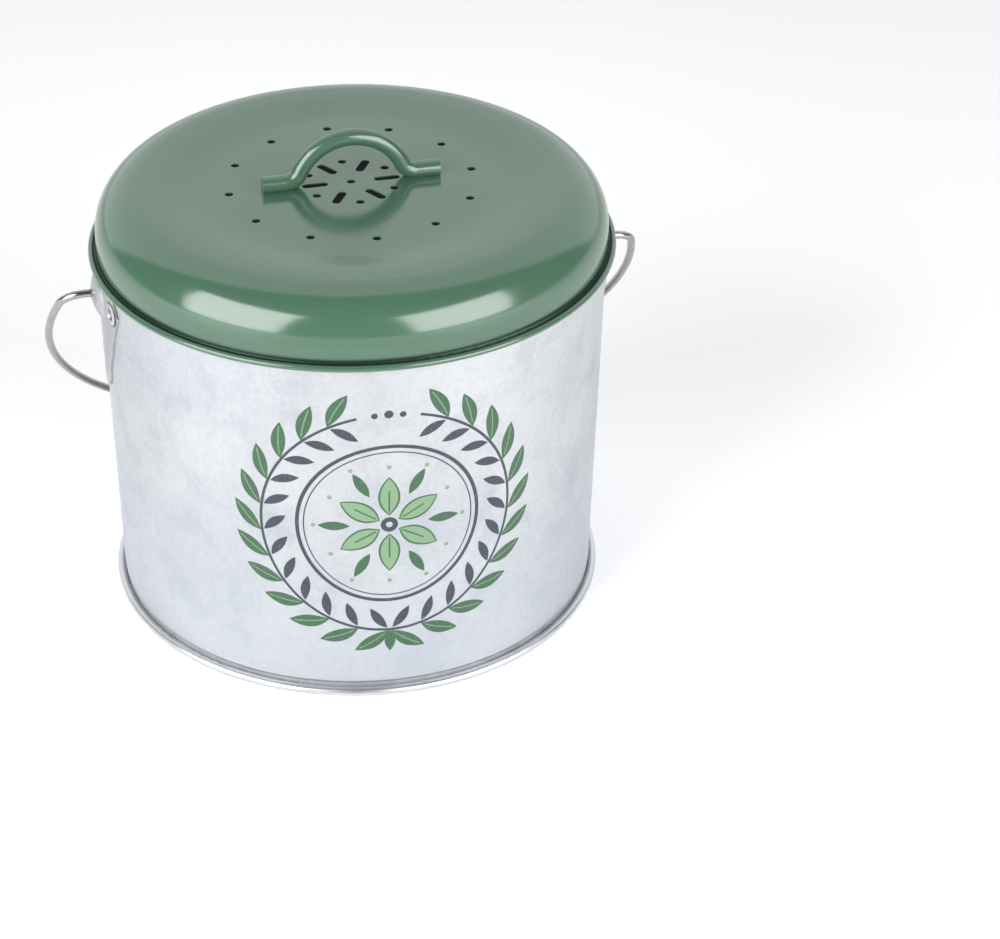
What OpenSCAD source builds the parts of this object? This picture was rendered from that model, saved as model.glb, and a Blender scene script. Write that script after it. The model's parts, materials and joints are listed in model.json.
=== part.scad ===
// Round kitchen compost caddy: galvanised pail, wire bail and lift-off domed lid with a charcoal filter.
// Millimetres, Z up, foot of the pail on z = 0, ears on the X axis, lowered bail towards +Y.

/* [Pail] */
// Height of the pail's mouth above the floor
pail_h = 170; // [140:1:220]
// Outside radius of the wall at the foot
foot_r = 110; // [90:0.5:130]
// How much wider the wall is at the mouth than at the foot, in radius
flare = 3.6; // [0:0.1:8]
// Sheet thickness of the wall and the base
sheet_t = 0.6; // [0.5:0.1:1]
// Height of the folded hem inside the mouth
hem_h = 6; // [4:0.5:10]
// Radius of the rolled seam bead round the foot
foot_bead_r = 1.9; // [1.4:0.1:3]
// Depth of the groove rolled in above the foot bead
foot_groove = 0.5; // [0.3:0.1:1]
// Underside of the base disc above the floor
base_recess = 6; // [4:0.5:12]
// Radius of the stiffening groove pressed into the base
emboss_r = 79; // [50:1:100]
// Width of the lock seam down the inside of the wall
seam_w = 8; // [5:0.5:14]

/* [Ears] */
// Depth of the bail's pivot axis below the mouth
pivot_drop = 13.8; // [12:0.1:40]
// Sheet thickness of the pressed ears
ear_t = 0.9; // [0.7:0.1:1.5]
// Half width of an ear level with the pivot
ear_half_w = 30; // [26:0.5:36]
// Half width of an ear where its lower tip rounds off
ear_tip_half_w = 12; // [8:0.5:18]
// Drop of the ear's lowest point below the pivot
ear_drop = 46; // [34:1:60]
// Rise of the ear's top edge above the pivot
ear_rise = 10.6; // [8:0.1:11.5]
// Radius of the hollow boss round the pivot
boss_r = 11.5; // [9:0.1:14]
// Height of the boss above the ear's sheet
boss_h = 3.8; // [3:0.1:6]

/* [Rivets] */
// Diameter of a rivet's flanged head
rivet_head_d = 10.3; // [8:0.1:14]
// Thickness of the rivet's head
rivet_head_t = 1.2; // [0.8:0.1:2]
// Diameter of the recess in the head
rivet_recess_d = 6.5; // [4:0.1:8]
// Diameter of the rivet's shank
rivet_shank_d = 4.8; // [3.2:0.1:6.4]
// Diameter of the rivet's tail inside the pail
rivet_tail_d = 7.6; // [6:0.1:9]
// Distance from the widest point of an ear's edge in to the middle of a rivet
rivet_in = 6.6; // [5:0.1:9]
// Height of the rivets above the pivot
rivet_up = 1.2; // [0:0.1:3]

/* [Bail] */
// Diameter of the bail wire
wire_d = 3.6; // [3:0.1:5]
// Distance from the lid's rim to the centre line of the bail's big bow
bow_gap = 18.5; // [12:0.5:40]
// How far the bow would reach below the floor if the bail hung straight down
bow_over = 21.4; // [5:0.1:40]
// Radius of the bend where the wire leaves the ear
bend_r = 11; // [7:0.5:16]
// Diameter of the upset end of the wire inside the boss
upset_d = 5.5; // [4.6:0.1:6.4]
// Gap between the lowered bail and the wall
rest_gap = 0.3; // [0.2:0.1:2]

/* [Lid] */
// How far the foot of the dome stands out past the pail's mouth
dome_proud = 0.4; // [0:0.1:2]
// Width of the ledge from the foot of the dome to the outside of the rolled rim
ledge_w = 3.5; // [3:0.1:8]
// Radius of the rolled rim's tube
curl_r = 1.4; // [1:0.1:2.2]
// Radius of the dome's shoulder
shoulder_r = 20.5; // [12:0.5:26]
// Height of the dome's highest ring above the mouth
dome_h = 29.4; // [22:0.1:45]
// Depth of the flat centre panel below that ring
panel_dip = 1.8; // [1:0.1:3]
// Radius of the flat centre panel
panel_r = 60; // [50:0.5:66]
// Sheet thickness of the lid
lid_t = 0.6; // [0.5:0.1:1]
// Depth of the skirt that drops into the mouth
skirt_h = 12.7; // [9:0.1:18]
// Radial gap between the skirt and the hem of the mouth
skirt_gap = 1.2; // [0.4:0.1:3]
// Width of the slit where the skirt's strip ends meet
skirt_slit = 0.4; // [0.3:0.1:2]

/* [Vents] */
// Diameter of each round vent
vent_d = 3.8; // [2.5:0.1:5]
// Number of vents in the outer ring
ring_vents = 12; // [8:1:18]
// Radius of the outer ring of vents
ring_vent_r = 54.6; // [48:0.1:56]
// Number of slots, and of round vents, in the inner star
star_n = 6; // [4:1:8]
// Radius of the inner ring of round vents
star_vent_r = 20; // [16:0.1:26]
// Radius at the middle of each slot
slot_r = 16.2; // [13:0.1:20]
// Length of each slot
slot_l = 11.7; // [7:0.1:13]
// Width of each slot
slot_w = 3.9; // [2.5:0.1:5]

/* [Lid handle] */
// Diameter of the handle's rod
rod_d = 7.5; // [5:0.1:10]
// Half length of the handle over its two feet
rod_half_l = 39.8; // [34:0.1:50]
// How far each foot of the rod is flattened against the panel
foot_press = 1.2; // [0:0.1:2]
// Centre-line radius of the handle's arch
arch_r = 25.2; // [20:0.1:30]
// Drop of the arch's centre below the centre panel
arch_drop = 3.5; // [0:0.1:8]
// Centre-line radius of the bend at each foot
foot_bend_r = 7; // [5:0.1:12]

/* [Filter] */
// Radius of the charcoal disc
filter_r = 74.4; // [68:0.1:75]
// Thickness of the charcoal disc
filter_t = 9; // [6:0.5:12]
// Outer radius of the holder's ring under the lid
holder_r = 92; // [84:0.5:93]
// Inner radius of the holder's tabs
tab_r = 65; // [60:0.5:70]
// Angle that each of the holder's four tabs spans
tab_angle = 62; // [40:1:70]
// Corner radius of the tabs
tab_corner_r = 5; // [3:0.5:8]

/* [Hidden] */
$fn = 96;
overlap = 0.01; // how far a round is let into what it blends with, so that the two fuse
lay_gap = 0.02; // what is pressed or laid against a sheet lies this close to it
seat_gap = 0.25; // lid flange above the pail's mouth
flange_t = 0.5; // sheet of the lid's skirt
pin_gap = 0.06; // radial running clearance of the wire in its ear
wire_r = wire_d / 2;
rod_r = rod_d / 2;
mouth_r = foot_r + flare;
axis_reach = mouth_r + bow_gap + 50; // longer than any radius in the part
taper = flare / pail_h;
function wall_r(z) = foot_r + taper * z; // outside radius of the wall at a height
function ear_r(z) = wall_r(z) + lay_gap; // inside radius of an ear's sheet at a height
pivot_z = pail_h - pivot_drop;
hem_top = pail_h - sheet_t;
hem_low = pail_h - hem_h;
seam_foot = 8; // lower end of the lock seam above the base
seam_low = base_recess + sheet_t + seam_foot;

foot_flat = 0.15; // how far the bead's round is cut off where it stands
foot_sink = 0.1; // how far the bead's round is let into the wall
foot_r_in = foot_r - foot_groove;
foot_flange_z = foot_bead_r;
foot_bead_c = foot_r + foot_bead_r - foot_sink;
foot_bead_z = foot_bead_r - foot_flat;
groove_h = 2.4; // height of the groove above the foot bead
groove_rise = 1.4; // height of the slope out of the groove
groove_top = 2 * foot_bead_r + groove_h;
neck_drop = 0.9; // how far the base's sheet dips on its way round the wall's edge
neck_low = 1.4; // how far it dips where it enters the bead
emboss_depth = 0.3; // depth of the groove in the base

skirt_r = mouth_r - 2 * sheet_t - skirt_gap;
dome_r = mouth_r + dome_proud;
rim_r = dome_r + ledge_w;
bow_r = rim_r + bow_gap;
reach = pivot_z + bow_over; // from the pivot axis to the far side of the bow
bow_c = reach - bow_r; // from the pivot axis to the centre of the bow
flange_out = 0.5; // how far the skirt's flange reaches out past the foot of the dome
lid_flange_z = pail_h + seat_gap;
ledge_z = lid_flange_z + flange_t;
ledge_top = ledge_z + lid_t;
curl_c = rim_r - curl_r;
curl_rise = 0.45; // top of the rolled rim above the ledge
curl_z = ledge_top + curl_rise - curl_r;
curl_from = 164; // angles between which the rolled rim is open, from inside it
curl_to = 225;
crest_z = pail_h + dome_h;
panel_z = crest_z - panel_dip;
crest_r = dome_r - shoulder_r;
shoulder_z = crest_z - shoulder_r;
rise_half = (crest_r - panel_r) / 2;
rise_r = (rise_half * rise_half + panel_dip * panel_dip / 4) / panel_dip;
rise_sin = rise_half / rise_r;
foot_fillet = 1; // fillet between the ledge and the foot of the dome
vent_cut = 2; // how far the vents' cutters reach past the panel on each side

weld_gap = 0.05; // rod above the panel; the weld pads fill it
handle_z = panel_z + weld_gap + rod_r - foot_press; // centre line of the handle's feet
arch_z = panel_z - arch_drop;
foot_bend_z = handle_z + foot_bend_r;
foot_bend_x = sqrt(pow(arch_r + foot_bend_r, 2) - pow(foot_bend_z - arch_z, 2));
arch_a = atan2(foot_bend_z - arch_z, foot_bend_x);

filter_top = panel_z - lid_t;
filter_z = filter_top - filter_t;
holder_t = 0.6; // sheet of the holder
filter_slack = 0.6; // gap round the charcoal disc
relief_w = 1; // width of the slot cut beside each tab
relief_l = 4.5; // length of that slot
relief_a = tab_angle / 2 + 0.5;
leg_in = filter_r + filter_slack;
leg_out = leg_in + holder_t;

ear_corner_r = 3; // corner radius of an ear
ear_wide_rise = 1.5; // the ear is widest this far above the pivot
ear_top_inset = 3; // how far each top corner lies inside the widest point
pivot_wall = wall_r(pivot_z);
ear_span = 1.2 * asin(ear_half_w / pivot_wall); // angle on each side that holds the whole ear
core_in = 30; // reach of the round cutter that clears the pail behind an ear, inwards
core_up = 10; // its reach past the mouth
boss_root = 2.3; // how far the boss's ball reaches in past the wall before it is trimmed
upset_gap = 0.5; // gap between the wall and the end of the wire
upset_play = 0.65; // play of the upset end inside the boss
crown_x = ear_r(pivot_z) + ear_t + boss_h;
boss_sphere = (boss_r * boss_r + boss_h * boss_h) / (2 * boss_h);
boss_c = crown_x - boss_sphere;
upset_x = pivot_wall + upset_gap;
upset_end = crown_x - ear_t - upset_play;
bend_x = sqrt(pow(bow_r - bend_r, 2) - pow(bow_c - bend_r, 2));
bend_a = atan2(bow_c - bend_r, bend_x);
function rest_step(a, n) =
  n == 0 ? a : rest_step(acos((wall_r(pivot_z - reach * sin(a)) + wire_r + rest_gap) / reach), n - 1);
rest_guess = 50; // first guess of the angle, in degrees
rest_a = rest_step(rest_guess, 8);

rivet_edge_t = 0.45; // thickness at the edge of a rivet's head
rivet_tail_t = 0.9; // thickness of a rivet's tail
rivet_bed = 0.1; // how deep the edge of a rivet's head is bedded in the ear
rivet_recess = 0.8; // depth of the recess in the head
rivet_recess_slope = 0.5; // how much narrower the recess is at its floor, in radius
rivet_shell_t = 1.1; // wall of the hollow shank
rivet_floor_t = 0.8; // metal between the recess and the hollow
rivet_z = pivot_z + rivet_up;
rivet_plate = ear_r(rivet_z) + ear_t;
rivet_angle = asin((ear_half_w - rivet_in) / rivet_plate); // round the pail from the pivot
rivet_seat = sqrt(pow(rivet_plate, 2) - pow(rivet_head_d / 2, 2)) - rivet_bed;
rivet_tail_x = sqrt(pow(wall_r(rivet_z) - sheet_t, 2) - pow(rivet_tail_d / 2, 2)) - rivet_bed;

// ---- shared helpers ----

// Half-plane sector from the axis, for cutting a ring, centred on angle 0
module wedge(half_a) {
  polygon([
    [0, 0],
    [axis_reach * cos(half_a), -axis_reach * sin(half_a)],
    [axis_reach * 1.2, 0],
    [axis_reach * cos(half_a), axis_reach * sin(half_a)]
  ]);
}

// Section of the wall's sheet, hem and foot flange, radius against height
module wall_section() {
  polygon([
    [foot_r_in - sheet_t, foot_flange_z],
    [foot_bead_c + sheet_t, foot_flange_z],
    [foot_bead_c + sheet_t, foot_flange_z + sheet_t],
    [foot_r_in, foot_flange_z + sheet_t],
    [foot_r_in, groove_top - groove_rise],
    [wall_r(groove_top), groove_top],
    [wall_r(hem_top), hem_top],
    [wall_r(hem_top) - 2 * sheet_t, hem_top],
    [wall_r(hem_low) - 2 * sheet_t, hem_low],
    [wall_r(hem_low) - sheet_t, hem_low],
    [wall_r(groove_top) - sheet_t, groove_top],
    [foot_r_in - sheet_t, groove_top - groove_rise]
  ]);
  translate([wall_r(hem_top) - sheet_t, hem_top]) circle(r = sheet_t);
}

// Region under the lid's outside, moved in by a depth, down to a height
module dome_section(depth, low = ledge_z) {
  junction = panel_r + (rise_r + depth) * rise_sin;
  translate([0, low]) square([panel_r, panel_z - depth - low]);
  difference() {
    translate([panel_r, low]) square([junction - panel_r, crest_z - low]);
    translate([panel_r, panel_z + rise_r]) circle(r = rise_r + depth, $fn = 720);
  }
  intersection() {
    translate([junction, low]) square([crest_r - junction, crest_z - low]);
    translate([crest_r, crest_z - rise_r]) circle(r = rise_r - depth, $fn = 720);
  }
  intersection() {
    translate([crest_r, shoulder_z]) square(shoulder_r);
    translate([crest_r, shoulder_z]) circle(r = shoulder_r - depth);
  }
  translate([crest_r, low]) square([shoulder_r - depth, shoulder_z - low]);
}

// Sheet-thick shell between two depths under the lid's outside
module dome_shell_section(outer, inner) {
  difference() {
    dome_section(outer);
    translate([0, -overlap]) dome_section(inner);
  }
}

// ---- pail ----

module body_wall() color("gainsboro") {
  difference() {
    union() {
      rotate_extrude() wall_section();
      intersection() {
        rotate_extrude() polygon([
          [wall_r(seam_low) - 2 * sheet_t, seam_low],
          [wall_r(seam_low) - 0.5 * sheet_t, seam_low],
          [wall_r(hem_low) - 0.5 * sheet_t, hem_low],
          [wall_r(hem_low) - 2 * sheet_t, hem_low]
        ]);
        translate([-seam_w / 2, 0, 0]) cube([seam_w, axis_reach, pail_h]);
      }
    }
    rivet_places() rivet_body();
  }
}

module base_pan() color("silver") {
  difference() {
    rotate_extrude() difference() {
      union() {
        translate([0, base_recess]) square([foot_r_in - sheet_t, sheet_t]);
        translate([foot_bead_c, foot_bead_z]) circle(r = foot_bead_r);
        polygon([
          [foot_r_in - 2 * sheet_t, base_recess + sheet_t],
          [foot_r_in - 2 * sheet_t, foot_flange_z],
          [foot_r_in - sheet_t, foot_flange_z - neck_drop],
          [foot_bead_c - 1, foot_flange_z - neck_low],
          [foot_bead_c, foot_flange_z],
          [foot_r_in - sheet_t, foot_flange_z],
          [foot_r_in - sheet_t, base_recess + sheet_t]
        ]);
      }
      wall_section();
      translate([0, -axis_reach]) square(axis_reach);
    }
    ring_emboss();
  }
}

// Shallow stiffening groove pressed into the underside of the base
module ring_emboss() {
  translate([0, 0, base_recess]) rotate_extrude()
    translate([emboss_r, 0]) circle(r = emboss_depth, $fn = 32);
}

// Outline of an ear's sheet, seen along the pivot, with rounded corners
module ear_outline() {
  corner = ear_corner_r;
  tip_r = ear_tip_half_w;
  tip_z = pivot_z - ear_drop + tip_r;
  wide_z = pivot_z + ear_wide_rise;
  top_z = pivot_z + ear_rise;
  top_half = ear_half_w - ear_top_inset;
  side_d = sqrt(pow(ear_half_w - corner, 2) + pow(wide_z - tip_z, 2));
  side_a = atan2(wide_z - tip_z, ear_half_w - corner) - asin((tip_r - corner) / side_d);
  nx = sin(side_a);
  nz = -cos(side_a);
  for (s = [-1, 1]) {
    translate([s * (ear_half_w - corner), wide_z]) circle(r = corner + overlap);
    translate([s * (top_half - corner), top_z - corner]) circle(r = corner + overlap);
  }
  translate([0, tip_z]) circle(r = tip_r + overlap);
  top_a = atan2(top_z - corner - wide_z, top_half - ear_half_w);
  tx = sin(top_a);
  tz = -cos(top_a);
  polygon([
    [tip_r * nx, tip_z + tip_r * nz],
    [ear_half_w - corner + corner * nx, wide_z + corner * nz],
    [ear_half_w - corner + corner * tx, wide_z + corner * tz],
    [top_half - corner + corner * tx, top_z - corner + corner * tz],
    [top_half - corner, top_z],
    [corner - top_half, top_z],
    [corner - top_half - corner * tx, top_z - corner + corner * tz],
    [corner - ear_half_w - corner * tx, wide_z + corner * tz],
    [corner - ear_half_w - corner * nx, wide_z + corner * nz],
    [-tip_r * nx, tip_z + tip_r * nz]
  ]);
}

// Blank of an ear: a strip of sheet that follows the wall, wide enough for the outline
module ear_blank() {
  rotate([0, 0, -ear_span]) rotate_extrude(angle = 2 * ear_span) polygon([
    [ear_r(0), 0],
    [ear_r(0) + ear_t, 0],
    [ear_r(pail_h) + ear_t, pail_h],
    [ear_r(pail_h), pail_h]
  ]);
}

// Cap of a ball round the pivot axis, from inside the wall to the boss's crown
module boss_cap(depth) {
  back = pivot_wall - boss_root;
  translate([boss_c, 0, pivot_z]) rotate([0, 90, 0]) rotate_extrude($fn = 144) intersection() {
    circle(r = boss_sphere - depth, $fn = 240);
    translate([0, back - boss_c]) square(2 * boss_sphere);
  }
}

// One ear on the +X side: a sheet that follows the wall, with the hollow boss
module ear() {
  difference() {
    union() {
      intersection() {
        ear_blank();
        translate([pivot_wall / 2, 0, 0]) rotate([90, 0, 90]) linear_extrude(pivot_wall) ear_outline();
      }
      boss_cap(0);
    }
    rotate([0, 0, 90]) rotate_extrude() polygon([
      [foot_r - core_in, 0],
      [ear_r(0), 0],
      [ear_r(pail_h + core_up), pail_h + core_up],
      [foot_r - core_in, pail_h + core_up]
    ]);
    boss_cap(ear_t);
    translate([boss_c, 0, pivot_z]) rotate([0, 90, 0]) cylinder(r = wire_r + pin_gap, h = axis_reach);
    rivet_pair() rivet_body();
  }
}

module ear_right() color("lightgray") ear();

module ear_left() color("lightgray") rotate([0, 0, 180]) ear();

module rivet_pair() {
  for (s = [-1, 1]) rotate([0, 0, s * rivet_angle]) children();
}

module rivet_places() {
  rivet_pair() children();
  rotate([0, 0, 180]) rivet_pair() children();
}

// Everything a rivet takes up, along +X at the rivets' height
module rivet_body() {
  translate([0, 0, rivet_z]) rotate([0, 90, 0]) rotate_extrude() rivet_section();
}

// Half section of a rivet round its own axis: tail, shank and a low domed head
module rivet_section() {
  head_r = rivet_head_d / 2;
  rise = rivet_head_t - rivet_edge_t;
  dome = (head_r * head_r + rise * rise) / (2 * rise);
  tail_end = rivet_tail_x - rivet_tail_t;
  translate([0, tail_end]) square([rivet_shank_d / 2, rivet_seat + rivet_edge_t / 2 - tail_end]);
  translate([0, tail_end]) square([rivet_tail_d / 2, rivet_tail_t]);
  intersection() {
    translate([0, rivet_seat]) square([head_r, rivet_head_t + 1]);
    translate([0, rivet_seat + rivet_head_t - dome]) circle(r = dome, $fn = 240);
  }
}

// One rivet: flanged head with a recess, hollow shank and flared tail
module rivet() {
  floor_x = rivet_seat + rivet_head_t - rivet_recess;
  recess_r = rivet_recess_d / 2;
  bore_x = rivet_tail_x - 2 * rivet_tail_t;
  translate([0, 0, rivet_z]) rotate([0, 90, 0]) rotate_extrude() difference() {
    rivet_section();
    polygon([
      [0, floor_x],
      [recess_r - rivet_recess_slope, floor_x],
      [recess_r, floor_x + rivet_recess + overlap],
      [0, floor_x + rivet_recess + overlap]
    ]);
    translate([0, bore_x]) square([rivet_shank_d / 2 - rivet_shell_t, floor_x - rivet_floor_t - bore_x]);
  }
}

module rivet_right_front() color("whitesmoke") rotate([0, 0, -rivet_angle]) rivet();

module rivet_right_back() color("whitesmoke") rotate([0, 0, rivet_angle]) rivet();

module rivet_left_front() color("whitesmoke") rotate([0, 0, 180 + rivet_angle]) rivet();

module rivet_left_back() color("whitesmoke") rotate([0, 0, 180 - rivet_angle]) rivet();

// ---- bail ----

// Ball that fuses two lengths of round wire where they meet
module wire_joint(r) sphere(r = r + 0.6 * overlap, $fn = 48);

module bail_wire() color("lightsteelblue") {
  translate([0, 0, pivot_z]) rotate([-rest_a, 0, 0]) {
    for (s = [0, 1]) mirror([s, 0, 0]) {
      translate([upset_x, 0, 0]) rotate([0, 90, 0])
        cylinder(d = upset_d, h = upset_end - upset_x, $fn = 48);
      translate([upset_end, 0, 0]) rotate([0, 90, 0])
        cylinder(r = wire_r, h = bend_x - upset_end, $fn = 48);
      translate([bend_x, 0, 0]) wire_joint(wire_r);
      translate([bend_x, bend_r, 0]) rotate([0, 0, -90])
        rotate_extrude(angle = 90 - bend_a) translate([bend_r, 0]) circle(r = wire_r, $fn = 48);
      translate([bow_r * cos(bend_a), bow_c - bow_r * sin(bend_a), 0]) wire_joint(wire_r);
    }
    translate([0, bow_c, 0]) rotate([0, 0, -bend_a])
      rotate_extrude(angle = 180 + 2 * bend_a) translate([bow_r, 0]) circle(r = wire_r, $fn = 48);
  }
}

// ---- lid ----

module vent() translate([0, 0, panel_z - vent_cut]) cylinder(d = vent_d, h = 2 * vent_cut);

module vents() {
  for (i = [0 : ring_vents - 1]) rotate([0, 0, i * 360 / ring_vents])
    translate([ring_vent_r, 0, 0]) vent();
  for (i = [0 : star_n - 1]) {
    rotate([0, 0, (i + 0.5) * 360 / star_n])
      translate([star_vent_r, 0, 0]) vent();
    rotate([0, 0, i * 360 / star_n]) translate([slot_r, 0, panel_z - vent_cut])
      linear_extrude(2 * vent_cut) {
        square([slot_l - slot_w, slot_w], center = true);
        for (s = [-1, 1]) translate([s * (slot_l - slot_w) / 2, 0]) circle(d = slot_w);
      }
  }
  vent();
}

module lid_shell() color("mediumseagreen") {
  difference() {
    rotate_extrude() {
      difference() {
        union() {
          dome_section(0);
          translate([dome_r - lid_t, ledge_z]) square([foot_fillet + lid_t, lid_t + foot_fillet]);
          translate([dome_r - lid_t, ledge_z]) square([curl_c - dome_r, lid_t]);
        }
        dome_section(lid_t, ledge_z - 1);
        translate([dome_r + foot_fillet, ledge_top + foot_fillet]) circle(r = foot_fillet);
      }
      difference() {
        translate([curl_c, curl_z]) circle(r = curl_r);
        translate([curl_c, curl_z]) circle(r = curl_r - lid_t);
        polygon([
          [curl_c, curl_z],
          [curl_c + 3 * curl_r * cos(curl_from), curl_z + 3 * curl_r * sin(curl_from)],
          [curl_c + 3 * curl_r * cos(curl_to), curl_z + 3 * curl_r * sin(curl_to)]
        ]);
      }
    }
    vents();
  }
}

module lid_skirt() color("seagreen") {
  difference() {
    rotate_extrude() {
      translate([skirt_r - flange_t, lid_flange_z])
        square([dome_r + flange_out - skirt_r + flange_t, flange_t]);
      translate([skirt_r - flange_t, lid_flange_z - skirt_h]) square([flange_t, skirt_h]);
    }
    translate([-skirt_slit / 2, 0, lid_flange_z - skirt_h - 1]) cube([skirt_slit, axis_reach, skirt_h + 3]);
  }
}

module lid_handle() color("forestgreen") {
  pad_w = 2.4;
  pad_h = 0.5;
  pad_in = 2;
  pad_l = rod_half_l - foot_bend_x - pad_in - 1;
  for (s = [0, 1]) mirror([s, 0, 0]) {
    difference() {
      union() {
        translate([foot_bend_x, 0, handle_z]) rotate([0, 90, 0])
          cylinder(r = rod_r, h = rod_half_l - foot_bend_x, $fn = 48);
        translate([foot_bend_x, 0, handle_z]) wire_joint(rod_r);
        translate([foot_bend_x, 0, foot_bend_z]) rotate([90, 0, 0]) rotate([0, 0, 180 + arch_a])
          rotate_extrude(angle = 90 - arch_a) translate([foot_bend_r, 0]) circle(r = rod_r, $fn = 48);
        translate([arch_r * cos(arch_a), 0, arch_z + arch_r * sin(arch_a)]) wire_joint(rod_r);
      }
      translate([0, -rod_r - 1, panel_z + weld_gap - rod_r]) cube([rod_half_l + 1, rod_d + 2, rod_r]);
    }
    translate([foot_bend_x + pad_in, -pad_w / 2, panel_z]) cube([pad_l, pad_w, pad_h]);
  }
  translate([0, 0, arch_z]) rotate([90, 0, 0]) rotate([0, 0, arch_a])
    rotate_extrude(angle = 180 - 2 * arch_a) translate([arch_r, 0]) circle(r = rod_r, $fn = 48);
}

// Plan of one tab with rounded inner corners, centred on +X
module tab_plan() {
  corner_c = tab_r + tab_corner_r;
  touch_r = sqrt(pow(corner_c, 2) - pow(tab_corner_r, 2));
  corner_a = tab_angle / 2 - asin(tab_corner_r / corner_c);
  intersection() {
    difference() {
      circle(r = leg_out + 2);
      circle(r = touch_r);
    }
    wedge(tab_angle / 2);
  }
  intersection() {
    difference() {
      circle(r = touch_r + 0.5);
      circle(r = tab_r);
    }
    wedge(corner_a);
  }
  for (s = [-1, 1]) rotate([0, 0, s * corner_a])
    translate([corner_c, 0]) circle(r = tab_corner_r + overlap);
}

module filter_holder() color("darkseagreen") translate([0, 0, -lay_gap]) {
  bend_in = holder_t;
  tall = 20;
  difference() {
    rotate_extrude() intersection() {
      dome_shell_section(lid_t, lid_t + holder_t);
      translate([leg_in, filter_z]) square([holder_r - leg_in, tall]);
    }
    for (q = [0 : 3]) for (s = [-1, 1]) rotate([0, 0, q * 90 + s * relief_a])
      translate([leg_in - 1, -relief_w / 2, filter_z]) cube([relief_l, relief_w, tall]);
  }
  for (q = [0 : 3]) rotate([0, 0, q * 90]) intersection() {
    rotate_extrude() {
      intersection() {
        translate([0, -overlap]) dome_section(lid_t);
        translate([leg_in, filter_z + bend_in]) square([holder_t, tall]);
      }
      translate([tab_r - 1, filter_z - holder_t]) square([leg_in - bend_in - tab_r + 1, holder_t]);
      intersection() {
        translate([leg_in - bend_in, filter_z - bend_in]) square(2 * bend_in);
        difference() {
          translate([leg_in - bend_in, filter_z + bend_in]) circle(r = bend_in + holder_t, $fn = 48);
          translate([leg_in - bend_in, filter_z + bend_in]) circle(r = bend_in, $fn = 48);
        }
      }
    }
    translate([0, 0, filter_z - 2]) linear_extrude(tall) tab_plan();
  }
}

module charcoal_filter() color("dimgray") {
  translate([0, 0, filter_z - lay_gap]) cylinder(r = filter_r, h = filter_t);
}

body_wall();
base_pan();
ear_left();
ear_right();
rivet_left_front();
rivet_left_back();
rivet_right_front();
rivet_right_back();
bail_wire();
lid_shell();
lid_skirt();
lid_handle();
filter_holder();
charcoal_filter();
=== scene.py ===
"""Looks of the round compost caddy: finishes, the charcoal foam, the studio and the camera."""

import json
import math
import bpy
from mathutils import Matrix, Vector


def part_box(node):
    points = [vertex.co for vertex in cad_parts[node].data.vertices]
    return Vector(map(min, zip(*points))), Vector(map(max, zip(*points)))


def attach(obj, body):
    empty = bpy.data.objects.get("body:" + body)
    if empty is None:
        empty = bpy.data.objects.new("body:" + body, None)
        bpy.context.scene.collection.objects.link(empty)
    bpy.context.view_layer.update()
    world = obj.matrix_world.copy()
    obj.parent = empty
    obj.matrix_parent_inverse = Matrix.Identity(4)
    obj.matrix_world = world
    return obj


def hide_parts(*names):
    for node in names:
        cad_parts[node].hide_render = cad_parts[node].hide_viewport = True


bl_info = {
    "name": "Compost caddy looks",
    "version": (1, 0, 0),
    "blender": (4, 5, 0),
    "location": "3D View > Sidebar > Caddy",
    "description": "Finishes for a galvanised compost caddy with an enamelled lid",
    "category": "Object",
}

import bmesh
import bpy
from bpy.props import FloatProperty, FloatVectorProperty, IntProperty, PointerProperty
from mathutils import Matrix, Vector, noise

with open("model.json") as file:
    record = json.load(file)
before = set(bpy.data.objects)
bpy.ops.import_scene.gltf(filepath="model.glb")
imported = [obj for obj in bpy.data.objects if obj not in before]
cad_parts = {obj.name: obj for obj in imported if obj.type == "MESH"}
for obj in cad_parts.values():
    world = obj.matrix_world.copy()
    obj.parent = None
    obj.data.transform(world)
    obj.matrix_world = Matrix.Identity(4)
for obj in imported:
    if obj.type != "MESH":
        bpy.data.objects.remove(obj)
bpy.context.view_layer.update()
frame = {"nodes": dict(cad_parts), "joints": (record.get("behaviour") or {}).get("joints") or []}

MM = 0.001
WALL_FOOT_R = 110 * MM  # outside of the wall at the floor
WALL_FLARE = 3.6 / 170  # how fast the wall widens with height
DOME_R = 114 * MM  # foot of the lid's dome
RIM_R = 117.5 * MM  # outside of the lid's rolled edge
LEDGE_Z = 171.35 * MM  # height of the lid's ledge
RIVET_ANGLE = 11.8  # degrees round the pail from the pivot to each rivet
RIVET_UP = 1.2 * MM  # height of the rivets above the pivot
foam_low, foam_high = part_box("charcoal_filter")
bail_pivot = next(j for j in frame["joints"] if j["name"] == "bail_swing")["pos_m"]

# the photographed view: angles in degrees, lengths in metres, shifts in widths of the picture
VIEW_TURN = -11.2
VIEW_PITCH = 30.67
VIEW_ROLL = -0.912
VIEW_DISTANCE = 1.24675
VIEW_AIM_HEIGHT = 0.1048
LENS_MM = 97.87
SENSOR_MM = 36.0
SHIFT_X = 0.14606
SHIFT_Y = -0.10717


# ---- shader maths written as expressions ----


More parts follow.
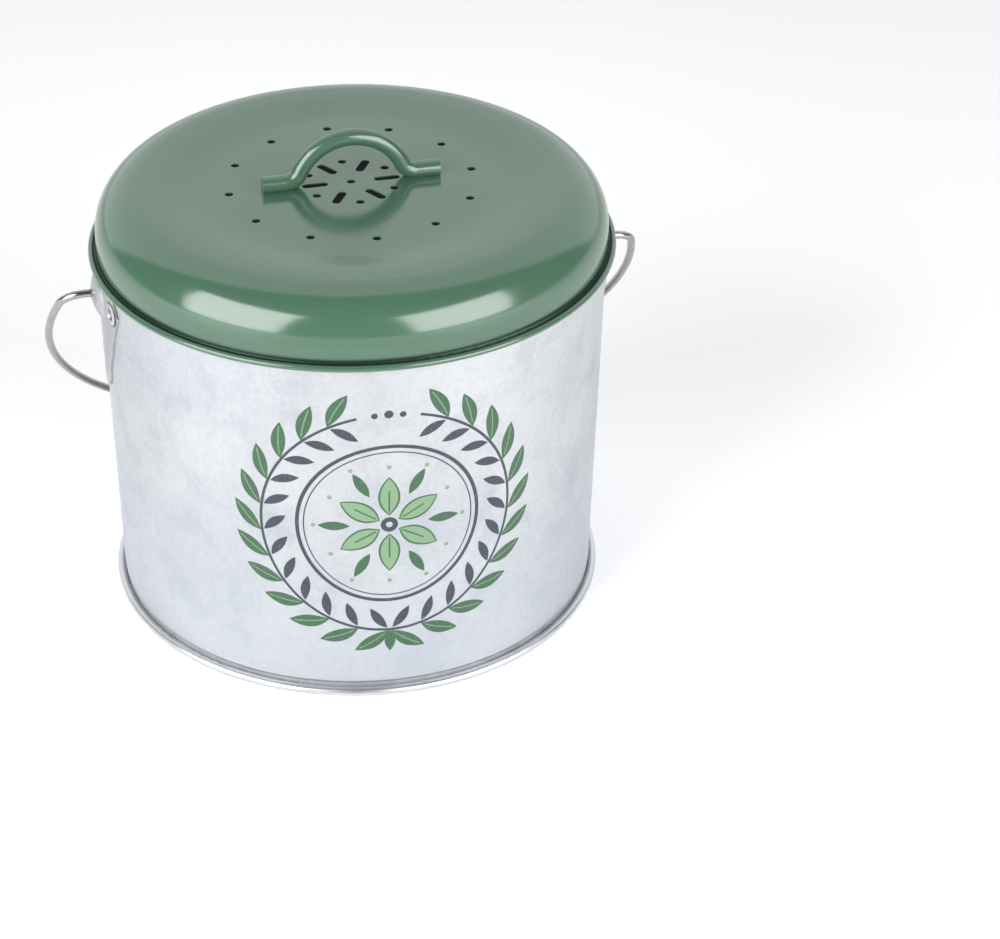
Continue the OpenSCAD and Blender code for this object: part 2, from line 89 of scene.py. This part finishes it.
class Value:
    """One output of a shader node. Arithmetic on it adds Math nodes."""

    def __init__(self, shader, socket):
        self.shader = shader
        self.socket = socket

    def math(self, operation, *others):
        return self.shader.node("ShaderNodeMath", {"operation": operation}, [self, *others])

    def __add__(self, other):
        return self.math("ADD", other)

    __radd__ = __add__

    def __mul__(self, other):
        return self.math("MULTIPLY", other)

    __rmul__ = __mul__

    def __sub__(self, other):
        return self.math("SUBTRACT", other)

    def __rsub__(self, other):
        return self.shader.node("ShaderNodeMath", {"operation": "SUBTRACT"}, [other, self])

    def __truediv__(self, other):
        return self.math("DIVIDE", other)

    def __rtruediv__(self, other):
        return self.shader.node("ShaderNodeMath", {"operation": "DIVIDE"}, [other, self])

    def __neg__(self):
        return self * -1.0

    def __abs__(self):
        return self.math("ABSOLUTE")

    def __mod__(self, other):
        return self.math("FLOORED_MODULO", other)

    def more(self, other):
        return self.math("MAXIMUM", other)

    def root(self):
        return self.math("SQRT")

    def angle_to(self, other):
        """Angle whose tangent is this value over the other, in radians."""
        return self.math("ARCTAN2", other)

    def step(self, low, high, start=0.0, end=1.0):
        """Smooth change from start to end as the value goes from low to high."""
        settings = {"interpolation_type": "SMOOTHSTEP"}
        return self.shader.node("ShaderNodeMapRange", settings, [self, low, high, start, end])


class Shader:
    """Adds the nodes of one material or of the world."""

    def __init__(self, tree):
        self.tree = tree
        self.tree.nodes.clear()

    def feed(self, socket, value):
        if isinstance(value, Value):
            self.tree.links.new(value.socket, socket)
        elif value is not None:
            if hasattr(socket.default_value, "__len__") and not hasattr(value, "__len__"):
                value = (value,) * len(socket.default_value)
            elif hasattr(value, "__len__") and len(value) == 3 and len(socket.default_value) == 4:
                value = (*value, 1.0)
            socket.default_value = value

    def node(self, kind, settings, values, output=0):
        """One node: settings first, then its sockets, by order in a list or by key in a dict."""
        made = self.tree.nodes.new(kind)
        for name, setting in settings.items():
            setattr(made, name, setting)
        pairs = values.items() if isinstance(values, dict) else enumerate(values)
        for key, value in pairs:
            self.feed(made.inputs[key], value)
        return Value(self, made.outputs[output]) if made.outputs else None

    def place(self):
        """Object coordinates, in metres."""
        return self.node("ShaderNodeTexCoord", {}, {}, "Object")

    def split(self, vector):
        first = self.node("ShaderNodeSeparateXYZ", {}, [vector])
        return [Value(self, socket) for socket in first.socket.node.outputs]

    def join(self, x, y, z):
        return self.node("ShaderNodeCombineXYZ", {}, [x, y, z])

    def noise(self, vector, per_metre, detail=3.0, rough=0.5, distort=0.0):
        values = {
            "Vector": vector,
            "Scale": per_metre,
            "Detail": detail,
            "Roughness": rough,
            "Distortion": distort,
        }
        return self.node("ShaderNodeTexNoise", {}, values, "Fac")

    def cells(self, vector, per_metre, feature="F1", output="Distance"):
        values = {"Vector": vector, "Scale": per_metre}
        return self.node("ShaderNodeTexVoronoi", {"feature": feature}, values, output)

    def blend(self, factor, first, second):
        """Colour mix. The mix node's colour sockets are inputs 6 and 7 and output 2."""
        settings = {"data_type": "RGBA", "clamp_factor": True}
        return self.node("ShaderNodeMix", settings, {0: factor, 6: first, 7: second}, 2)

    def bump(self, height, depth, strength=1.0, under=None):
        """Surface relief: height from 0 to 1 stands for depth metres."""
        values = {"Strength": strength, "Distance": depth, "Height": height, "Normal": under}
        return self.node("ShaderNodeBump", {}, values)

    def finish_surface(self, values):
        """The surface itself, with its sockets by name, joined to the material's output."""
        surface = self.node("ShaderNodeBsdfPrincipled", {}, values)
        self.node("ShaderNodeOutputMaterial", {}, [surface])


def material(name):
    made = bpy.data.materials.new(name)
    made.use_nodes = True
    return made, Shader(made.node_tree)


def wear(nodes, made):
    """Gives every named CAD node one finish."""
    for name in nodes:
        slots = frame["nodes"][name].data.materials
        slots.clear()
        slots.append(made)


# ---- finishes ----


def green_enamel(looks):
    """Glossy stove enamel on pressed sheet."""
    made, s = material("green_enamel")
    at = s.place()
    cloud = s.noise(at, 22.0, 2.0)
    fine = s.noise(at, 420.0, 2.0)
    green = tuple(looks.lid_green)
    dark = tuple(c * 0.93 for c in green)
    light = tuple(min(c * 1.05, 1.0) for c in green)
    skin = s.blend(cloud * 0.7 + fine * 0.3, dark, light)

    # painted shade: the enamel is darkened in the crease between the dome and the rolled edge, where
    # shade falls
    x, y, z = s.split(at)
    radius = (x * x + y * y).root()
    past_dome = radius.step(DOME_R - 1.0 * MM, DOME_R - 0.2 * MM)
    within_roll = radius.step(RIM_R - 2.3 * MM, RIM_R - 1.6 * MM, 1.0, 0.0)
    near_ledge = z.step(LEDGE_Z + 0.5 * MM, LEDGE_Z + 3.0 * MM, 1.0, 0.0)
    painted_crease_shade = past_dome * within_roll * near_ledge

    # colour of the painted shade in the crease
    crease_shade_green = (0.014, 0.034, 0.025)
    rough = cloud.step(0.3, 0.75, looks.lid_roughness * 0.9, looks.lid_roughness * 1.15)
    s.finish_surface(
        {
            "Base Color": s.blend(painted_crease_shade, skin, crease_shade_green),
            "Metallic": painted_crease_shade * 0.85,
            "Roughness": rough + painted_crease_shade * 0.3,
            "Specular IOR Level": 0.8,
            "Normal": s.bump(fine, 0.02 * MM, 0.35),
        }
    )
    return made


def zinc(looks):
    """Pale mottled galvanised sheet of the wall, with the printed wreath on the front."""
    made, s = material("galvanised_wall")
    at = s.place()
    x, y, z = s.split(at)
    radius = (x * x + y * y).root()
    cloud = s.noise(at, 17.0, 4.0, 0.55, 0.3)
    smudge = s.noise(at, 46.0, 5.0, 0.62, 0.5)
    speck = s.noise(at, 420.0, 3.0, 0.65)
    crystal = s.split(s.cells(at, 1.0 / looks.spangle_size, output="Color"))[0]
    pale = tuple(looks.zinc_pale)
    grey = tuple(looks.zinc_grey)
    mottle = cloud.step(0.40, 0.66) * 0.46 + smudge.step(0.46, 0.70) * 0.42
    mottle = mottle + speck.step(0.34, 0.66) * 0.32
    skin = s.blend(mottle + (crystal - 0.5) * 0.10, pale, grey)

    # cooler zinc low down, and painted shade in the groove over the foot bead
    cool_tint = (0.90, 0.95, 1.04)
    cool = tuple(c * t for c, t in zip(pale, cool_tint))
    skin = s.blend(z.step(0.0, 0.12, 0.35, 0.0), skin, cool)
    # painted shade: the wall is darkened just above the foot bead, where the groove lies in shade
    shade_colour = tuple(c * 0.22 for c in grey)
    skin = s.blend(z.step(4.6 * MM, 6.6 * MM, 1.0, 0.0), skin, shade_colour)
    printed, ink = wreath_print(s, looks, x, y, z, skin)

    # bare zinc without the print on the inside
    inner_face = z * WALL_FLARE + (WALL_FOOT_R - 0.3 * MM)
    inside = radius.math("LESS_THAN", inner_face)
    dull, bright = (0.42, 0.44, 0.46), (0.58, 0.60, 0.62)
    raw = s.blend(crystal * 0.6 + smudge * 0.4, dull, bright)
    s.finish_surface(
        {
            "Base Color": s.blend(inside, printed, raw),
            "Metallic": (1.0 - ink) * looks.zinc_metal,
            "Roughness": (mottle * 0.16 + 0.92) * looks.zinc_roughness,
            "Normal": s.bump(smudge * 0.6 + speck * 0.4, 0.05 * MM, 0.5),
        }
    )
    return made


def leaf(along, across, half_length, half_width, soft=0.12):
    """1 inside a pointed leaf centred on 0, 0, else 0. Lengths in millimetres."""
    t = along / half_length
    return ((1.0 - t * t) * half_width - abs(across)).step(-soft, soft)


def dot(u, v, at_u, at_v, size, soft=0.1):
    """1 inside a round dot."""
    return (size - ((u - at_u) * (u - at_u) + (v - at_v) * (v - at_v)).root()).step(-soft, soft)


def line(distance, half_width, soft=0.1):
    """1 on a line, from the distance to its middle."""
    return (half_width - abs(distance)).step(-soft, soft)


def turned(along, across, degrees):
    """The same two coordinates, turned by an angle."""
    c, q = math.cos(math.radians(degrees)), math.sin(math.radians(degrees))
    return along * c + across * q, across * c - along * q


def wreath_print(s, looks, x, y, z, skin):
    """A leafy ring round a blossom, wrapped on the front of the wall.

    Gives the printed colour and a mask that is 1 on the ink. All lengths are millimetres on the flat.
    """
    wall_mm, mm_in_metre = 112.0, 1000.0
    angle = x.angle_to(-y)
    u = (angle - math.radians(looks.print_turn)) * (wall_mm / looks.print_size)
    v = (z - looks.print_height) * (mm_in_metre / looks.print_size)
    rho = (u * u + v * v).root()

    # ring of leaf pairs, the same on both sides, open at the top
    ring, pairs = 43.0, 13
    pitch = math.pi / pairs
    turn = abs(u).angle_to(-v)
    arc = (turn % pitch - pitch / 2) * ring
    out = rho - ring
    open_top = turn.step(pitch * 12 - 0.005, pitch * 12 + 0.005, 1.0, 0.0)
    a, b = turned(arc, out - 5.0, 44)
    outer = leaf(a, b, 6.6, 2.35) * open_top
    rib = line(b, 0.17) * (5.0 - abs(a)).step(-0.2, 0.2) * open_top
    a, b = turned(arc + 0.6, out + 4.6, -46)
    inner = leaf(a, b, 5.4, 1.75) * open_top
    stem = line(out, 0.5) * open_top
    low_bud = leaf(v + ring + 4.6, u, 4.4, 1.9)
    top_buds = dot(abs(u), v, 0.0, ring, 1.5).more(dot(abs(u), v, 4.6, ring - 0.4, 1.1))

    # two lines inside the ring
    lines = line(rho - 30.6, 0.66).more(line(rho - 28.4, 0.24))

    # blossom in the middle
    petals = 6
    share = 2 * math.pi / petals
    spin = u.angle_to(v)
    across = ((spin + share / 2) % share - share / 2) * rho
    petal = leaf(rho - 11.2, across, 7.6, 3.7)
    edge = petal - leaf(rho - 11.2, across, 7.0, 3.0)
    vein = line(across, 0.28) * rho.step(5.0, 5.2) * rho.step(13.2, 13.4, 1.0, 0.0)
    between = (spin % share - share / 2) * rho
    small_leaf = leaf(rho - 18.4, between, 5.4, 1.75)
    heart = (2.9 - rho).step(-0.1, 0.1) - (1.1 - rho).step(-0.1, 0.1)
    beads = dot(rho, between, 25.2, 0.0, 0.8).more(dot(rho, across, 22.6, 0.0, 0.8))

    # inks, laid one over the other on the front only
    front = y.step(-20 * MM, -30 * MM)
    worn = s.noise(s.join(x, y, z), 1100.0, 2.0).step(0.22, 0.40, 0.80, 1.0)
    green, pale, slate = tuple(looks.print_green), tuple(looks.print_pale), tuple(looks.print_slate)
    mid = outer.more(small_leaf).more(low_bud)
    dark = inner.more(stem).more(lines).more(heart).more(top_buds)
    ink = skin
    ink = s.blend(mid * front, ink, green)
    ink = s.blend(rib * front, ink, pale)
    ink = s.blend(petal.more(beads) * front, ink, pale)
    ink = s.blend(edge.more(vein) * front, ink, green)
    ink = s.blend(dark * front, ink, slate)
    mask = mid.more(petal).more(beads).more(dark) * front
    return s.blend(worn, skin, ink), mask


def bright_zinc(looks):
    """Bright rolled seam and base of the pail."""
    made, s = material("bright_zinc")
    at = s.place()
    x, y, z = s.split(at)
    grain = s.noise(s.join(x * 0.3, y * 0.3, z), 900.0, 3.0, 0.6)
    spot = s.noise(at, 60.0, 3.0)
    dull, bright = (0.50, 0.51, 0.53), (0.68, 0.69, 0.71)
    s.finish_surface(
        {
            "Base Color": s.blend(spot * 0.7 + grain * 0.3, dull, bright),
            "Metallic": 1.0,
            "Roughness": spot.step(0.3, 0.7, 0.30, 0.38),
            "Normal": s.bump(spot, 0.02 * MM, 0.3),
        }
    )
    return made


def rivet_distance(s, at):
    """Distance from the axis of the nearest rivet, measured round the wall."""
    x, y, z = s.split(at)
    wall_r_here = WALL_FOOT_R + 3.5 * MM
    along = (abs(y).angle_to(abs(x)) - math.radians(RIVET_ANGLE)) * wall_r_here
    up = z - (bail_pivot[2] + RIVET_UP)
    return (along * along + up * up).root()


def pressed_zinc(looks):
    """Pale zinc of the pressed ears."""
    made, s = material("pressed_zinc")
    at = s.place()
    blotch = s.noise(at, 140.0, 4.0, 0.6)
    speck = s.noise(at, 900.0, 2.0)
    x, y, z = s.split(at)
    up = z - bail_pivot[2]
    pin = (y * y + up * up).root()
    # painted shade: dark rings round each rivet head and round the bail's pin hole, where shade falls
    # on the ear
    by_rivet = rivet_distance(s, at).step(5.2 * MM, 6.3 * MM, 1.0, 0.0)
    shade = by_rivet.more(pin.step(2.0 * MM, 3.4 * MM, 1.0, 0.0))
    dull, bright, shade_colour = (0.33, 0.34, 0.36), (0.52, 0.53, 0.55), (0.05, 0.05, 0.055)
    skin = s.blend(blotch, dull, bright)
    s.finish_surface(
        {
            "Base Color": s.blend(shade, skin, shade_colour),
            "Metallic": 0.9,
            "Roughness": blotch.step(0.3, 0.7, 0.28, 0.38),
            "Normal": s.bump(blotch * 0.6 + speck * 0.4, 0.03 * MM, 0.5),
        }
    )
    return made


def rivet_steel(looks):
    """Plated rivets with fine turning marks."""
    made, s = material("rivet_steel")
    at = s.place()
    speck = s.noise(at, 1400.0, 2.0)
    spot = s.noise(at, 300.0, 2.0)
    off = rivet_distance(s, at)
    # painted shade: dark in the rivet's hollow centre and round the head's edge, where shade falls
    in_recess = off.step(2.4 * MM, 3.5 * MM, 1.0, 0.0)
    shade = in_recess.more(off.step(4.5 * MM, 5.2 * MM))
    dull, bright, shade_colour = (0.46, 0.47, 0.49), (0.66, 0.67, 0.69), (0.10, 0.10, 0.11)
    skin = s.blend(spot, dull, bright)
    s.finish_surface(
        {
            "Base Color": s.blend(shade * 0.8, skin, shade_colour),
            "Metallic": 0.95,
            "Roughness": spot.step(0.3, 0.7, 0.22, 0.32),
            "Normal": s.bump(speck, 0.015 * MM, 0.5),
        }
    )
    return made


def bright_wire(looks):
    """Drawn steel wire with faint lines along its length."""
    made, s = material("bright_wire")
    at = s.place()
    x, y, z = s.split(at)
    up = z - bail_pivot[2]
    away = y * y + up * up
    drawn = s.noise(s.join((x * x + away).root(), x * 0.02, away.root() * 0.02), 2600.0, 2.0)
    spot = s.noise(at, 90.0, 3.0)
    dull, bright = (0.27, 0.26, 0.245), (0.45, 0.435, 0.415)
    s.finish_surface(
        {
            "Base Color": s.blend(spot, dull, bright),
            "Metallic": 1.0,
            "Roughness": spot.step(0.3, 0.7, 0.16, 0.26),
            "Normal": s.bump(drawn, 0.01 * MM, 0.3),
        }
    )
    return made


def charcoal_foam(looks):
    """Open-cell foam loaded with charcoal."""
    made, s = material("charcoal_foam")
    at = s.place()
    cell = s.cells(at, 1.0 / looks.foam_cell)
    grit = s.noise(at, 2400.0, 3.0, 0.7)
    patch = s.noise(at, 90.0, 2.0)
    # painted glints: a few grey specks in the colour stand in for light catching the charcoal
    glint = grit.step(0.64, 0.74)
    hollow, web = (0.002, 0.002, 0.002), (0.010, 0.010, 0.011)
    glint_grey, dust = (0.06, 0.06, 0.065), (0.004, 0.004, 0.005)
    colour = s.blend(cell.step(0.1, 0.6), hollow, web)
    colour = s.blend(glint * 0.25, colour, glint_grey)
    s.finish_surface(
        {
            "Base Color": s.blend(patch * 0.3, colour, dust),
            "Specular IOR Level": 0.1,
            "Roughness": grit.step(0.3, 0.8, 0.95, 0.8),
            "Normal": s.bump(cell * 0.6 + grit * 0.4, 0.5 * MM, 0.9),
        }
    )
    return made


# ---- settings ----


class CaddyLooks(bpy.types.PropertyGroup):
    """Sizes and colours of the caddy's finishes."""

    lid_green: FloatVectorProperty(
        name="Lid green",
        description="Colour of the enamel",
        subtype="COLOR",
        default=(0.048, 0.108, 0.068),
    )
    lid_roughness: FloatProperty(
        name="Lid roughness",
        description="Blur of the enamel's reflections",
        min=0.02,
        max=0.6,
        default=0.15,
    )
    zinc_pale: FloatVectorProperty(
        name="Zinc, pale",
        description="Lightest zinc of the wall",
        subtype="COLOR",
        default=(0.52, 0.535, 0.55),
    )
    zinc_grey: FloatVectorProperty(
        name="Zinc, grey",
        description="Darkest zinc of the wall",
        subtype="COLOR",
        default=(0.40, 0.42, 0.455),
    )
    zinc_roughness: FloatProperty(
        name="Zinc roughness",
        description="Blur of the wall's reflections",
        min=0.1,
        max=0.9,
        default=0.5,
    )
    zinc_metal: FloatProperty(
        name="Zinc metal",
        description="How metallic the wall looks",
        min=0.0,
        max=1.0,
        default=0.8,
    )
    spangle_size: FloatProperty(
        name="Spangle size",
        description="Width of one zinc crystal",
        unit="LENGTH",
        default=7 * MM,
    )
    print_green: FloatVectorProperty(
        name="Print green",
        description="Green ink of the leaves",
        subtype="COLOR",
        default=(0.031, 0.085, 0.043),
    )
    print_slate: FloatVectorProperty(
        name="Print slate",
        description="Dark ink of the lines",
        subtype="COLOR",
        default=(0.027, 0.036, 0.050),
    )
    print_pale: FloatVectorProperty(
        name="Print pale green",
        description="Pale ink of the blossom",
        subtype="COLOR",
        default=(0.153, 0.255, 0.144),
    )
    print_size: FloatProperty(
        name="Print size",
        description="Scale of the printed ornament",
        min=0.5,
        max=1.5,
        default=1.3,
    )
    print_turn: FloatProperty(
        name="Print turn",
        description="Degrees from the front to the ornament's middle",
        min=-30.0,
        max=30.0,
        default=-4.0,
    )
    print_height: FloatProperty(
        name="Print height",
        description="Height of the ornament's middle",
        unit="LENGTH",
        default=90 * MM,
    )
    foam_cell: FloatProperty(
        name="Foam cell",
        description="Width of one cell of the foam",
        unit="LENGTH",
        default=1.3 * MM,
    )
    backdrop_light: FloatProperty(
        name="Backdrop light",
        description="Brightness of the white backdrop",
        min=0.0,
        max=5.0,
        default=1.2,
    )
    room_light: FloatProperty(
        name="Room light",
        description="Brightness of the room behind the camera",
        min=0.0,
        max=2.0,
        default=0.16,
    )
    soft_box_power: FloatProperty(
        name="Soft box power",
        description="Power of each soft box in watts",
        min=1.0,
        max=80.0,
        default=37.0,
    )
    foam_rings: IntProperty(
        name="Foam rings",
        description="Rings of faces across the foam disc",
        min=8,
        max=120,
        default=56,
    )


# ---- operators ----


class CADDY_OT_lid(bpy.types.Operator):
    """Enamel the lid, its skirt, handle and filter holder"""

    bl_idname = "caddy.lid"
    bl_label = "Lid enamel"

    def execute(self, context):
        made = green_enamel(context.scene.caddy_looks)
        wear(["lid_shell", "lid_skirt", "lid_handle", "filter_holder"], made)
        return {"FINISHED"}


class CADDY_OT_pail(bpy.types.Operator):
    """Galvanise and print the pail's wall and base"""

    bl_idname = "caddy.pail"
    bl_label = "Pail zinc"

    def execute(self, context):
        looks = context.scene.caddy_looks
        wear(["body_wall"], zinc(looks))
        wear(["base_pan"], bright_zinc(looks))
        return {"FINISHED"}


class CADDY_OT_fittings(bpy.types.Operator):
    """Finish the ears, rivets and bail"""

    bl_idname = "caddy.fittings"
    bl_label = "Ears, rivets and bail"

    def execute(self, context):
        looks = context.scene.caddy_looks
        wear(["ear_left", "ear_right"], pressed_zinc(looks))
        rivets = [name for name in frame["nodes"] if name.startswith("rivet_")]
        wear(rivets, rivet_steel(looks))
        wear(["bail_wire"], bright_wire(looks))
        return {"FINISHED"}


SLACK = 0.1 * MM  # the foam's gap to the space that it fills
EDGE_R = 1.2 * MM  # rounding of the foam's lower edge
TOP_BEVEL = 0.2 * MM
EDGE_STEPS = 5
SIDE_STEPS = 4
FOAM_STEPS = 240  # faces round the disc
LUMPS_PER_METRE = 420


class CADDY_OT_foam(bpy.types.Operator):
    """Make the charcoal foam disc"""

    bl_idname = "caddy.foam"
    bl_label = "Charcoal foam"

    def execute(self, context):
        looks = context.scene.caddy_looks
        radius = foam_high.x - SLACK
        low, high = foam_low.z, foam_high.z
        bm = bmesh.new()

        # half section: underside, rounded lower edge, side and top
        profile = [bm.verts.new((0, 0, low))]
        ring = radius - EDGE_R
        for i in range(1, looks.foam_rings + 1):
            profile.append(bm.verts.new((ring * i / looks.foam_rings, 0, low)))
        for a in range(1, EDGE_STEPS + 1):
            t = math.radians(a * 90 / EDGE_STEPS)
            profile.append(
                bm.verts.new((ring + EDGE_R * math.sin(t), 0, low + EDGE_R * (1 - math.cos(t))))
            )
        side = high - low - EDGE_R - TOP_BEVEL
        for k in range(1, SIDE_STEPS + 1):
            profile.append(bm.verts.new((radius, 0, low + EDGE_R + side * k / SIDE_STEPS)))
        profile.append(bm.verts.new((radius - TOP_BEVEL, 0, high)))
        profile.append(bm.verts.new((0, 0, high)))
        edges = [bm.edges.new(pair) for pair in zip(profile, profile[1:])]
        bmesh.ops.spin(
            bm,
            geom=profile + edges,
            cent=(0, 0, 0),
            axis=(0, 0, 1),
            angle=2 * math.pi,
            steps=FOAM_STEPS,
            use_merge=True,
        )
        bmesh.ops.remove_doubles(bm, verts=bm.verts, dist=0.01 * MM)
        bmesh.ops.recalc_face_normals(bm, faces=bm.faces)
        for v in bm.verts:
            if v.co.z < low + EDGE_R + SLACK:
                lump = noise.fractal(v.co * LUMPS_PER_METRE, 0.9, 2.1, 3)
                v.co.z += max(0.0, 0.35 + 0.35 * lump) * MM
        mesh = bpy.data.meshes.new("charcoal_foam")
        bm.to_mesh(mesh)
        bm.free()
        mesh.shade_smooth()
        foam = bpy.data.objects.new("charcoal_foam_disc", mesh)
        context.scene.collection.objects.link(foam)
        foam.data.materials.append(charcoal_foam(looks))
        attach(foam, "lid")
        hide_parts("charcoal_filter")
        return {"FINISHED"}


def soft_box(name, azimuth, elevation, distance, width, height, watts, aim):
    """An area light at an angle round the caddy, aimed at a point."""
    a, e = math.radians(azimuth), math.radians(elevation)
    data = bpy.data.lights.new(name, "AREA")
    data.shape = "RECTANGLE"
    data.size = width
    data.size_y = height
    data.energy = watts
    lamp = bpy.data.objects.new(name, data)
    bpy.context.scene.collection.objects.link(lamp)
    back = Vector((math.sin(a) * math.cos(e), -math.cos(a) * math.cos(e), math.sin(e)))
    lamp.location = Vector(aim) + back * distance
    lamp.rotation_mode = "QUATERNION"
    lamp.rotation_quaternion = (-back).to_track_quat("-Z", "Y")
    return lamp


def lay_floor(scene):
    """A pale floor, painted a little darker as shade well in front of the caddy, where the lid's
    shoulder mirrors it.
    """
    bm = bmesh.new()
    bmesh.ops.create_grid(bm, x_segments=1, y_segments=1, size=4.0)
    mesh = bpy.data.meshes.new("floor")
    bm.to_mesh(mesh)
    bm.free()
    floor = bpy.data.objects.new("floor", mesh)
    scene.collection.objects.link(floor)
    made, s = material("pale_floor")
    at = s.place()
    x, y, z = s.split(at)
    cool, warm, grey = (0.93, 0.93, 0.94), (0.95, 0.95, 0.95), (0.05, 0.05, 0.05)
    pale = s.blend(s.noise(at, 1.5, 2.0), cool, warm)
    a = math.radians(VIEW_TURN)
    ahead = x * math.sin(a) - y * math.cos(a)
    aside = abs(x * math.cos(a) + y * math.sin(a))
    # painted shade: a grey patch on the floor well in front, which the lid's shoulder mirrors as a dark
    # reflection
    far_front_shade = ahead.step(0.32, 0.55, 0.0, 0.32) * ahead.step(0.9, 1.6, 1.0, 0.0)
    far_front_shade = far_front_shade * (aside / ahead).step(0.5, 1.0, 1.0, 0.0)
    s.finish_surface(
        {
            "Base Color": s.blend(far_front_shade, pale, grey),
            "Roughness": 0.8,
            "Specular IOR Level": 0.2,
        }
    )
    floor.data.materials.append(made)


def light_room(scene, looks):
    """A bright backdrop behind and above the caddy, a dim room in front, and two soft boxes."""
    world = bpy.data.worlds.new("studio")
    scene.world = world
    world.use_nodes = True
    s = Shader(world.node_tree)
    x, y, z = s.split(s.node("ShaderNodeTexCoord", {}, {}, "Generated"))
    a = math.radians(VIEW_TURN)
    back = y * math.cos(a) - x * math.sin(a)
    light = (back + z * 0.45).step(0.50, 0.62, looks.room_light, looks.backdrop_light)
    glow = s.node("ShaderNodeBackground", {}, {"Color": (0.97, 0.99, 1.0), "Strength": light})
    s.node("ShaderNodeOutputWorld", {}, [glow])

    lid_mid = (0, 0, 0.185)
    power = looks.soft_box_power
    away, width = 1.6, 1.3
    soft_box("soft_box_left", VIEW_TURN - 51, 20, away, width, 1.35, power, lid_mid)
    soft_box("soft_box_right", VIEW_TURN + 46, 18, away, width, 1.2, power * 0.85, lid_mid)


def set_camera(scene):
    """The camera at the photographed angle."""
    data = bpy.data.cameras.new("camera")
    camera = bpy.data.objects.new("camera", data)
    scene.collection.objects.link(camera)
    scene.camera = camera
    a, p, r = math.radians(-VIEW_TURN), math.radians(VIEW_PITCH), math.radians(VIEW_ROLL)
    forward = Vector((math.sin(a) * math.cos(p), math.cos(a) * math.cos(p), -math.sin(p)))
    level = Vector((math.cos(a), -math.sin(a), 0))
    upright = level.cross(forward)
    right = level * math.cos(r) + upright * math.sin(r)
    up = upright * math.cos(r) - level * math.sin(r)
    at = Vector((0, 0, VIEW_AIM_HEIGHT)) - forward * VIEW_DISTANCE
    turned_to = Matrix((right, up, -forward)).transposed().to_4x4()
    camera.matrix_world = Matrix.Translation(at) @ turned_to
    data.sensor_fit = "HORIZONTAL"
    data.sensor_width = SENSOR_MM
    data.lens = LENS_MM
    data.shift_x = SHIFT_X
    data.shift_y = SHIFT_Y
    data.clip_start = 0.05
    data.clip_end = 30.0
    scene.view_settings.view_transform = "Standard"
    scene.view_settings.look = "None"


class CADDY_OT_stage(bpy.types.Operator):
    """Floor, studio light and camera"""

    bl_idname = "caddy.stage"
    bl_label = "Studio"

    def execute(self, context):
        lay_floor(context.scene)
        light_room(context.scene, context.scene.caddy_looks)
        set_camera(context.scene)
        return {"FINISHED"}


class CADDY_PT_panel(bpy.types.Panel):
    """Finishes and pieces of the caddy"""

    bl_label = "Compost caddy"
    bl_idname = "CADDY_PT_panel"
    bl_space_type = "VIEW_3D"
    bl_region_type = "UI"
    bl_category = "Caddy"

    def draw(self, context):
        looks = context.scene.caddy_looks
        for name in CaddyLooks.__annotations__:
            self.layout.prop(looks, name)
        for step in STEPS:
            self.layout.operator(step.bl_idname)


STEPS = (CADDY_OT_lid, CADDY_OT_pail, CADDY_OT_fittings, CADDY_OT_foam, CADDY_OT_stage)
CLASSES = (CaddyLooks, *STEPS, CADDY_PT_panel)


def register():
    for made in CLASSES:
        bpy.utils.register_class(made)
    bpy.types.Scene.caddy_looks = PointerProperty(type=CaddyLooks)


def unregister():
    del bpy.types.Scene.caddy_looks
    for made in reversed(CLASSES):
        bpy.utils.unregister_class(made)


def main():
    register()
    bpy.ops.caddy.lid()
    bpy.ops.caddy.pail()
    bpy.ops.caddy.fittings()
    bpy.ops.caddy.foam()
    bpy.ops.caddy.stage()


if __name__ == "__main__":
    main()
